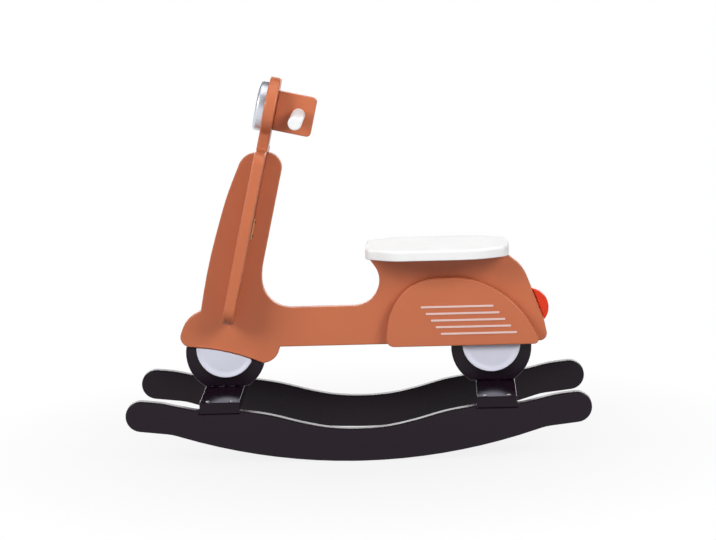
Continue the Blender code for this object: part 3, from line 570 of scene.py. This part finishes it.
def finish_named(name):
    """Return one of the toy's finishes, made when it is first asked for."""
    found = bpy.data.materials.get(name)
    if found:
        return found
    tints = bpy.context.scene.scooter_finishes
    lean = Vector(steering_axis())
    makers = {
        "terracotta_lacquer_upright":
            lambda: lacquer(name, tints.terracotta, tints.satin, ACROSS, specular=0.4),
        "terracotta_lacquer_leaning":
            lambda: lacquer(name, tints.terracotta, tints.satin, lean, specular=0.4),
        "black_lacquer_upright":
            lambda: lacquer(name, tints.black, tints.base_satin, ACROSS, specular=0.25),
        "black_lacquer_flat":
            lambda: lacquer(name, tints.black, tints.plate_gloss, UPWARD, specular=0.2),
        "white_lacquer_seat":
            lambda: lacquer(name, tints.white, tints.seat_matt, UPWARD, specular=0.1),
        "white_lacquer_bar": lambda: lacquer(name, tints.white, tints.satin, ACROSS),
        # the hubs take the greyer, bluer tint over the white lacquer: painted shade
        "white_lacquer_hub": lambda: lacquer(name, tints.hub, tints.satin, ACROSS),
        "red_gloss_lacquer": lambda: lacquer(name, tints.red, tints.gloss, ACROSS, specular=0.2),
        "silver_flake_paint": lambda: metal_flake_paint(name, tints.silver),
        "stripe_flake_paint": lambda: metal_flake_paint(name, tints.stripe),
        "zinc_plated_steel": lambda: plated_steel(name, tints.zinc, 0.34),
        "brass_plated_steel": lambda: plated_steel(name, tints.brass, 0.40),
        "browned_steel": lambda: plated_steel(name, tints.browned, 0.45),
        "beech_grain_x": lambda: bare_beech(name, tints.beech, (ALONG_GRAIN, 1, 1)),
        "beech_grain_y": lambda: bare_beech(name, tints.beech, (1, ALONG_GRAIN, 1)),
        "beech_grain_z": lambda: bare_beech(name, tints.beech, (1, 1, ALONG_GRAIN)),
    }
    return makers[name]()


# Operators, one for each piece or group of like pieces

class SCOOTER_OT_rockers(bpy.types.Operator):
    """Lay black lacquered boards over the two rockers."""

    bl_idname = "scooter.rockers"
    bl_label = "Rockers"

    def execute(self, context):
        for side in ("left", "right"):
            board(f"rocker_{side}_board", f"rocker_{side}", finish_named("black_lacquer_upright"),
                  "black_lacquer")
        return {"FINISHED"}


def fit_screw(node, direction, head, shank, material, slot, recess, depth):
    """Put a detailed screw where a CAD screw is.

    direction points along its shank, head is the head's height and shank the shank's radius.
    """
    start, total, radius = node_line(node, direction)
    bm = recessed_screw(recess, depth, radius, head, shank, total)
    place_on(bm, start, -Vector(direction))
    return piece(f"{node}_fitting", bm, finish_named(material), slot, node)


class SCOOTER_OT_cross_plates(bpy.types.Operator):
    """Make the two cross plates that join the rockers, with their screws."""

    bl_idname = "scooter.cross_plates"
    bl_label = "Cross plates"

    def execute(self, context):
        sizes = context.scene.scooter_sizes
        recess = cross_recess(sizes.recess_arm, sizes.recess_width)
        for end in ("front", "rear"):
            board(f"{end}_plate_board", f"{end}_cross_plate", finish_named("black_lacquer_flat"),
                  "black_lacquer", rim=PLATE_RIM, width=sizes.plate_soften)
            for count in range(1, 5):
                fit_screw(f"{end}_plate_screw_{count}", DOWNWARD, sizes.screw_head,
                          sizes.screw_shank, "zinc_plated_steel", "zinc_steel", recess,
                          sizes.recess_depth)
        return {"FINISHED"}


def turned_hub(node, axle):
    """Turn a whole dished hub, and cut it off where the CAD node is cut under the body."""
    sizes = bpy.context.scene.scooter_sizes
    low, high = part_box(node)
    thick, radius = high.y - low.y, sizes.hub_radius
    outward = -ACROSS if low.y < 0 else ACROSS
    centre = Vector((axle, high.y if low.y < 0 else low.y, low.z + radius))
    ring = radius - sizes.hub_rim
    face, sunk = ring - sizes.hub_slope, thick - sizes.hub_dish
    bm = lathe([(0, 0), (radius, 0), (radius, thick), (ring, thick), (face, sunk), (0, sunk)],
               HUB_STEPS)
    round_ring(bm, face, sunk, sizes.hub_dish_round, 4)
    round_ring(bm, radius, thick, sizes.hub_edge_round, 4)
    round_ring(bm, ring, thick, sizes.hub_rim_round, 3)
    place_on(bm, centre, outward)
    cad = merged_copy(node)
    for wall in cad.faces:
        middle = wall.calc_center_median()
        inside = (middle - centre).dot(wall.normal) < radius - WALL_INSET
        if abs(wall.normal.y) < WALL_TILT and inside and wall.calc_area() > WALL_AREA:
            cut_off(bm, middle, wall.normal)
    cad.free()
    return piece(f"{node}_turned", bm, finish_named("white_lacquer_hub"), "white_lacquer", node)


class SCOOTER_OT_wheels(bpy.types.Operator):
    """Make the two fixed wheels, their hubs and the bolts under the cross plates."""

    bl_idname = "scooter.wheels"
    bl_label = "Wheels"

    def execute(self, context):
        sizes = context.scene.scooter_sizes
        for end, axle in (("front", sizes.front_axle), ("rear", sizes.rear_axle)):
            board(f"{end}_wheel_board", f"{end}_wheel", finish_named("black_lacquer_upright"),
                  "black_lacquer")
            for side in ("left", "right"):
                turned_hub(f"{end}_hub_{side}", axle)
            for where in ("fore", "aft"):
                fit_screw(f"{end}_wheel_bolt_{where}", UPWARD, sizes.bolt_head, sizes.bolt_shank,
                          "zinc_plated_steel", "zinc_steel", hex_recess(sizes.socket_across),
                          sizes.socket_depth)
        return {"FINISHED"}


class SCOOTER_OT_body(bpy.types.Operator):
    """Make the upright body board."""

    bl_idname = "scooter.body"
    bl_label = "Body"

    def execute(self, context):
        board("body_board", "body_panel", finish_named("terracotta_lacquer_upright"),
              "terracotta_lacquer")
        return {"FINISHED"}


class SCOOTER_OT_steering(bpy.types.Operator):
    """Make the steering board, and the tie plates with their screws behind it."""

    bl_idname = "scooter.steering"
    bl_label = "Steering board"

    def execute(self, context):
        sizes = context.scene.scooter_sizes
        recess = cross_recess(sizes.tie_recess_arm, sizes.tie_recess_width)
        board("shield_board", "steering_board", finish_named("terracotta_lacquer_leaning"),
              "terracotta_lacquer")
        for side in ("left", "right"):
            board(f"tie_plate_{side}_strip", f"tie_plate_{side}",
                  finish_named("brass_plated_steel"), "zinc_steel",
                  rim=TIE_RIM, width=sizes.tie_soften)
            for height in ("lower", "upper"):
                fit_screw(f"tie_screw_{side}_{height}", -steering_axis(), sizes.tie_head,
                          sizes.tie_shank, "browned_steel", "dark_steel", recess,
                          sizes.tie_recess_depth)
        return {"FINISHED"}


class SCOOTER_OT_headlight(bpy.types.Operator):
    """Turn the headlight disc."""

    bl_idname = "scooter.headlight"
    bl_label = "Headlight"

    def execute(self, context):
        sizes = context.scene.scooter_sizes
        forward = -steering_axis()
        start, thick, radius = node_line("headlight", forward)
        shoulder, flat = thick - sizes.lamp_crown, sizes.lamp_flat * radius
        bm = lathe([(0, 0), (radius, 0), (radius, shoulder), (flat, thick), (0, thick)])
        round_ring(bm, radius, shoulder, sizes.lamp_round, 8)
        round_ring(bm, flat, thick, sizes.lamp_flat_round, 4)
        place_on(bm, start, forward)
        piece("headlight_disc", bm, finish_named("silver_flake_paint"), "silver_paint", "headlight")
        return {"FINISHED"}


class SCOOTER_OT_handle(bpy.types.Operator):
    """Make the handle plate and the turned bar through it."""

    bl_idname = "scooter.handle"
    bl_label = "Handle"

    def execute(self, context):
        sizes = context.scene.scooter_sizes
        board("handle_plate_board", "handle_plate", finish_named("terracotta_lacquer_upright"),
              "terracotta_lacquer")
        start, long, radius = node_line("handle_bar", ACROSS)
        bm = lathe([(0, 0), (radius, 0), (radius, long), (0, long)])
        for height in (0, long):
            round_ring(bm, radius, height, sizes.bar_ease, 5)
        place_on(bm, start, ACROSS)
        piece("handle_bar_turned", bm, finish_named("white_lacquer_bar"), "white_lacquer",
              "handle_bar")
        return {"FINISHED"}


def seat_board(sizes):
    """The seat board, whose upper rim is rounder than its lower one."""
    bm = merged_copy("seat")
    low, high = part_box("seat")
    soften_rim(bm, UPWARD, [high.z], SEAT_RIM, sizes.seat_soften)
    soften_rim(bm, UPWARD, [low.z], SEAT_UNDER_RIM, sizes.seat_under_soften)
    return piece("seat_board", bm, finish_named("white_lacquer_seat"), "white_lacquer", "seat")


class SCOOTER_OT_seat(bpy.types.Operator):
    """Make the seat board and the round plugs over its two screws."""

    bl_idname = "scooter.seat"
    bl_label = "Seat"

    def execute(self, context):
        sizes = context.scene.scooter_sizes
        seat_board(sizes)
        plug, shank = sizes.plug_depth, sizes.plug_shank
        for where in ("front", "rear"):
            node = f"seat_screw_{where}"
            start, total, radius = node_line(node, DOWNWARD)
            bm = lathe([(0, 0), (radius, 0), (radius, -plug), (shank, -plug), (shank, -total),
                        (0, -total)], PLUG_STEPS)
            round_ring(bm, radius, 0, sizes.plug_round, 3)
            place_on(bm, start, UPWARD)
            piece(f"seat_plug_{where}", bm, finish_named("white_lacquer_seat"), "white_lacquer",
                  node)
        return {"FINISHED"}


class SCOOTER_OT_side_panels(bpy.types.Operator):
    """Make the two engine covers and their painted stripes."""

    bl_idname = "scooter.side_panels"
    bl_label = "Side panels"

    def execute(self, context):
        sizes = context.scene.scooter_sizes
        for side in ("left", "right"):
            board(f"side_panel_{side}_board", f"side_panel_{side}",
                  finish_named("terracotta_lacquer_upright"), "terracotta_lacquer")
            for count in range(1, 6):
                board(f"stripe_{side}_{count}_band", f"stripe_{side}_{count}",
                      finish_named("stripe_flake_paint"), "silver_paint",
                      rim=STRIPE_RIM, width=sizes.stripe_soften)
        return {"FINISHED"}


class SCOOTER_OT_tail_light(bpy.types.Operator):
    """Make the red tail light."""

    bl_idname = "scooter.tail_light"
    bl_label = "Tail light"

    def execute(self, context):
        board("tail_light_disc", "tail_light", finish_named("red_gloss_lacquer"), "red_lacquer")
        return {"FINISHED"}


class SCOOTER_OT_inner_fixings(bpy.types.Operator):
    """Give the dowels and the screws inside the joints their finishes."""

    bl_idname = "scooter.inner_fixings"
    bl_label = "Inner fixings"

    def execute(self, context):
        for name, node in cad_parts.items():
            if node.hide_render:
                continue
            if "wheel_dowel" in name:
                made_of = "beech_grain_z"
            elif "side_dowel" in name:
                made_of = "beech_grain_y"
            elif "dowel" in name:
                made_of = "beech_grain_x"
            elif "screw" in name:
                made_of = "zinc_plated_steel"
            else:
                raise RuntimeError(f"{name} has no finish")
            node.data.materials.clear()
            node.data.materials.append(finish_named(made_of))
        return {"FINISHED"}


class SCOOTER_OT_stage(bpy.types.Operator):
    """Set the pale floor, the soft studio light and the camera."""

    bl_idname = "scooter.stage"
    bl_label = "Stage"

    def execute(self, context):
        make_floor(context.scene.scooter_stage)
        make_lights(context.scene.scooter_stage)
        make_camera(context.scene.scooter_stage)
        context.scene.view_settings.view_transform = "Standard"
        return {"FINISHED"}


# Stage

def either(tree, rays, *kinds):
    """One for rays of any of these kinds, read from a light path node."""
    found = rays.outputs[kinds[0]]
    for kind in kinds[1:]:
        found = add_node(tree, "ShaderNodeMath", {0: found, 1: rays.outputs[kind]},
                         operation="MAXIMUM").outputs[0]
    return found


def make_floor(stage):
    """Lay a wide pale floor that shows white and keeps part of the toy's shadow."""
    bm = bmesh.new()
    bmesh.ops.create_grid(bm, x_segments=1, y_segments=1, size=FLOOR_HALF)
    mesh = bpy.data.meshes.new("studio_floor")
    bm.to_mesh(mesh)
    bm.free()
    made, tree, shader = start_material("pale_studio_floor")
    shader.inputs["Base Color"].default_value = (*stage.floor_tint, 1)
    shader.inputs["Roughness"].default_value = 0.9
    shader.inputs["Specular IOR Level"].default_value = 0.0
    rays = add_node(tree, "ShaderNodeLightPath")
    seen = either(tree, rays, "Is Camera Ray", "Is Glossy Ray", "Is Transmission Ray")
    spot = add_node(tree, "ShaderNodeTexCoord").outputs["Object"]
    far = add_node(tree, "ShaderNodeVectorMath", {0: spot}, operation="LENGTH").outputs["Value"]
    even = add_node(tree, "ShaderNodeMapRange", {
        "Value": far, "From Min": FLOOR_WHITE[0], "From Max": FLOOR_WHITE[1],
        "To Min": stage.floor_near, "To Max": 1.0}).outputs["Result"]
    white = add_node(tree, "ShaderNodeEmission", {"Color": WHITE, "Strength": 1.0}).outputs[0]
    amount = add_node(tree, "ShaderNodeMath", {0: seen, 1: even}, operation="MULTIPLY").outputs[0]
    both = add_node(tree, "ShaderNodeMixShader",
                    {0: amount, 1: shader.outputs[0], 2: white}).outputs[0]
    tree.links.new(both, tree.nodes["Material Output"].inputs["Surface"])
    mesh.materials.append(made)
    floor = bpy.data.objects.new("studio_floor", mesh)
    bpy.context.scene.collection.objects.link(floor)


def make_lights(stage):
    """Light a room that is darker overhead, and hang the soft boxes in it."""
    world = bpy.data.worlds.new("studio_world")
    bpy.context.scene.world = world
    world.use_nodes = True
    tree = world.node_tree
    rays = add_node(tree, "ShaderNodeLightPath")
    seen = either(tree, rays, "Is Camera Ray", "Is Transmission Ray")
    spot = add_node(tree, "ShaderNodeTexCoord").outputs["Object"]
    height = add_node(tree, "ShaderNodeSeparateXYZ", {0: spot}).outputs["Z"]
    dusk = add_node(tree, "ShaderNodeMapRange", {
        "Value": height, "From Min": ROOM_DUSK[0], "From Max": ROOM_DUSK[1],
        "To Min": stage.room_low, "To Max": stage.room_high}).outputs["Result"]
    plain = add_node(tree, "ShaderNodeBackground", {"Color": WHITE, "Strength": dusk}).outputs[0]
    white = add_node(tree, "ShaderNodeBackground", {"Color": WHITE, "Strength": 1.0}).outputs[0]
    both = add_node(tree, "ShaderNodeMixShader", {0: seen, 1: plain, 2: white}).outputs[0]
    tree.links.new(both, tree.nodes["World Output"].inputs["Surface"])
    for *box, power in SOFT_BOXES:
        soft_box(*box, getattr(stage, power))


def soft_box(name, spot, aim, width, height, power):
    """Hang a soft box of this size, looking at aim."""
    light = bpy.data.lights.new(name, "AREA")
    light.shape = "RECTANGLE"
    light.size, light.size_y = width, height
    light.energy = power
    holder = bpy.data.objects.new(name, light)
    holder.location = spot
    holder.rotation_euler = (Vector(aim) - Vector(spot)).to_track_quat("-Z", "Y").to_euler()
    holder.visible_camera = False
    bpy.context.scene.collection.objects.link(holder)


def make_camera(stage):
    """Put the camera at the photograph's viewing angle."""
    level = math.cos(stage.pitch)
    forward = Vector((math.sin(stage.yaw) * level, math.cos(stage.yaw) * level,
                      -math.sin(stage.pitch)))
    right = Vector((math.cos(stage.yaw), -math.sin(stage.yaw), 0))
    rolled = Matrix.Rotation(-stage.roll, 3, forward)
    camera = bpy.data.cameras.new("camera")
    camera.lens, camera.sensor_width = stage.lens, SENSOR_WIDTH
    camera.clip_end = FAR_CLIP
    holder = bpy.data.objects.new("camera", camera)
    turn = Matrix((rolled @ right, rolled @ right.cross(forward), -forward)).transposed().to_4x4()
    holder.matrix_world = Matrix.Translation(Vector(stage.target) - stage.distance * forward) @ turn
    bpy.context.scene.collection.objects.link(holder)
    bpy.context.scene.camera = holder


OPERATORS = (
    SCOOTER_OT_rockers, SCOOTER_OT_cross_plates, SCOOTER_OT_wheels, SCOOTER_OT_body,
    SCOOTER_OT_steering, SCOOTER_OT_headlight, SCOOTER_OT_handle, SCOOTER_OT_seat,
    SCOOTER_OT_side_panels, SCOOTER_OT_tail_light, SCOOTER_OT_inner_fixings, SCOOTER_OT_stage,
)


class SCOOTER_PT_pieces(bpy.types.Panel):
    """Lists the operators that make the toy, with its sizes and colours."""

    bl_idname = "SCOOTER_PT_pieces"
    bl_label = "Rocking scooter"
    bl_space_type = "VIEW_3D"
    bl_region_type = "UI"
    bl_category = "Rocking scooter"

    def draw(self, context):
        scene = context.scene
        for operator in OPERATORS:
            self.layout.operator(operator.bl_idname)
        for group in (scene.scooter_finishes, scene.scooter_sizes, scene.scooter_stage):
            for name in group.__annotations__:
                self.layout.prop(group, name)


CLASSES = (ScooterFinishes, ScooterSizes, ScooterStage, *OPERATORS, SCOOTER_PT_pieces)


def register():
    """Register the settings, the operators and the panel."""
    for cls in CLASSES:
        bpy.utils.register_class(cls)
    bpy.types.Scene.scooter_finishes = PointerProperty(type=ScooterFinishes)
    bpy.types.Scene.scooter_sizes = PointerProperty(type=ScooterSizes)
    bpy.types.Scene.scooter_stage = PointerProperty(type=ScooterStage)


def unregister():
    """Take them all away again."""
    del bpy.types.Scene.scooter_stage
    del bpy.types.Scene.scooter_sizes
    del bpy.types.Scene.scooter_finishes
    for cls in reversed(CLASSES):
        bpy.utils.unregister_class(cls)


def main():
    """Make every piece and the stage."""
    register()
    for operator in OPERATORS:
        group, name = operator.bl_idname.split(".")
        getattr(getattr(bpy.ops, group), name)()


if __name__ == "__main__":
    main()
